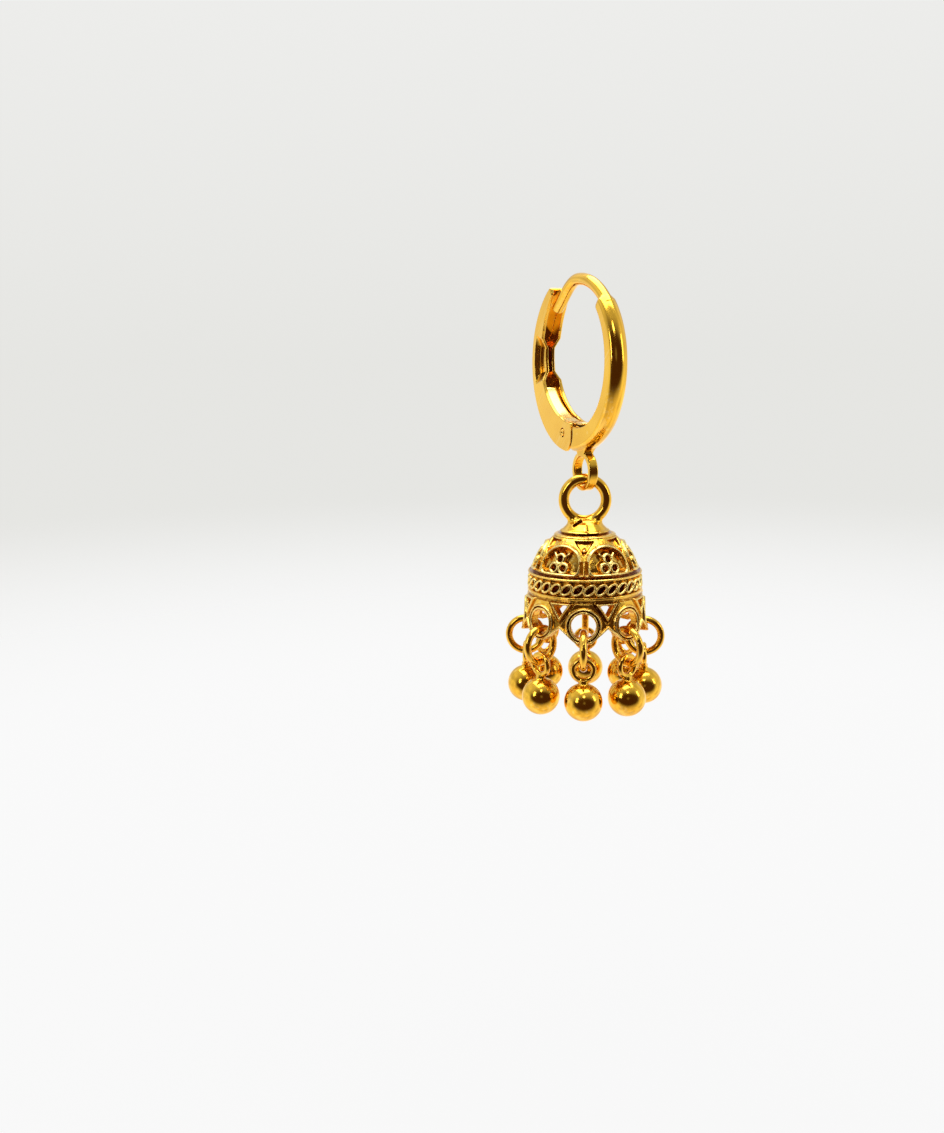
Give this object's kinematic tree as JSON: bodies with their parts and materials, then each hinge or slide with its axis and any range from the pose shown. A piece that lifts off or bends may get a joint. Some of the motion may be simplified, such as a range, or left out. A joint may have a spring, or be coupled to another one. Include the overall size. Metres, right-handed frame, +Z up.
{
  "type": "jhumka earring",
  "caption": "Hinged hoop earring with an openwork dome bell hanging from its eye and a fringe of ball drops on jump rings.",
  "frame": {"origin": "underside of the ear wire at the top of the hoop, where the earring hangs, above the bell's axis", "axes": "+Z up along the bell's axis, -Y to the front where the broad arc of the hoop is, X along the hinge pin"},
  "size_m": [0.0124, 0.0143, 0.0342],
  "materials": {
    "polished_gold": "polished gold plating",
    "cast_gold": "cast and gold plated, softly polished"
  },
  "bodies": {
    "hoop": {"hoop_front": "polished_gold", "hinge_pin": "polished_gold"},
    "lever": {"hoop_lever": "polished_gold", "spring_leaf": "polished_gold"},
    "pendant": {"bell": "cast_gold", "jump_ring_1": "polished_gold", "jump_ring_2": "polished_gold", "jump_ring_3": "polished_gold", "jump_ring_4": "polished_gold", "jump_ring_5": "polished_gold", "jump_ring_6": "polished_gold", "jump_ring_7": "polished_gold", "jump_ring_8": "polished_gold", "ball_drop_1": "polished_gold", "ball_drop_2": "polished_gold", "ball_drop_3": "polished_gold", "ball_drop_4": "polished_gold", "ball_drop_5": "polished_gold", "ball_drop_6": "polished_gold", "ball_drop_7": "polished_gold", "ball_drop_8": "polished_gold"}
  },
  "joints": [
    {"name": "lever_hinge", "type": "hinge", "parent": "hoop", "child": "lever", "pos_m": [0, 0.00235, -0.01137], "axis": [-1, 0, 0], "range_deg": [0, 50]},
    {"name": "pendant_swing", "type": "hinge", "parent": "hoop", "child": "pendant", "pos_m": [0, 0, -0.01429], "axis": [1, 0, 0], "range_deg": [-40, 40]}
  ]
}
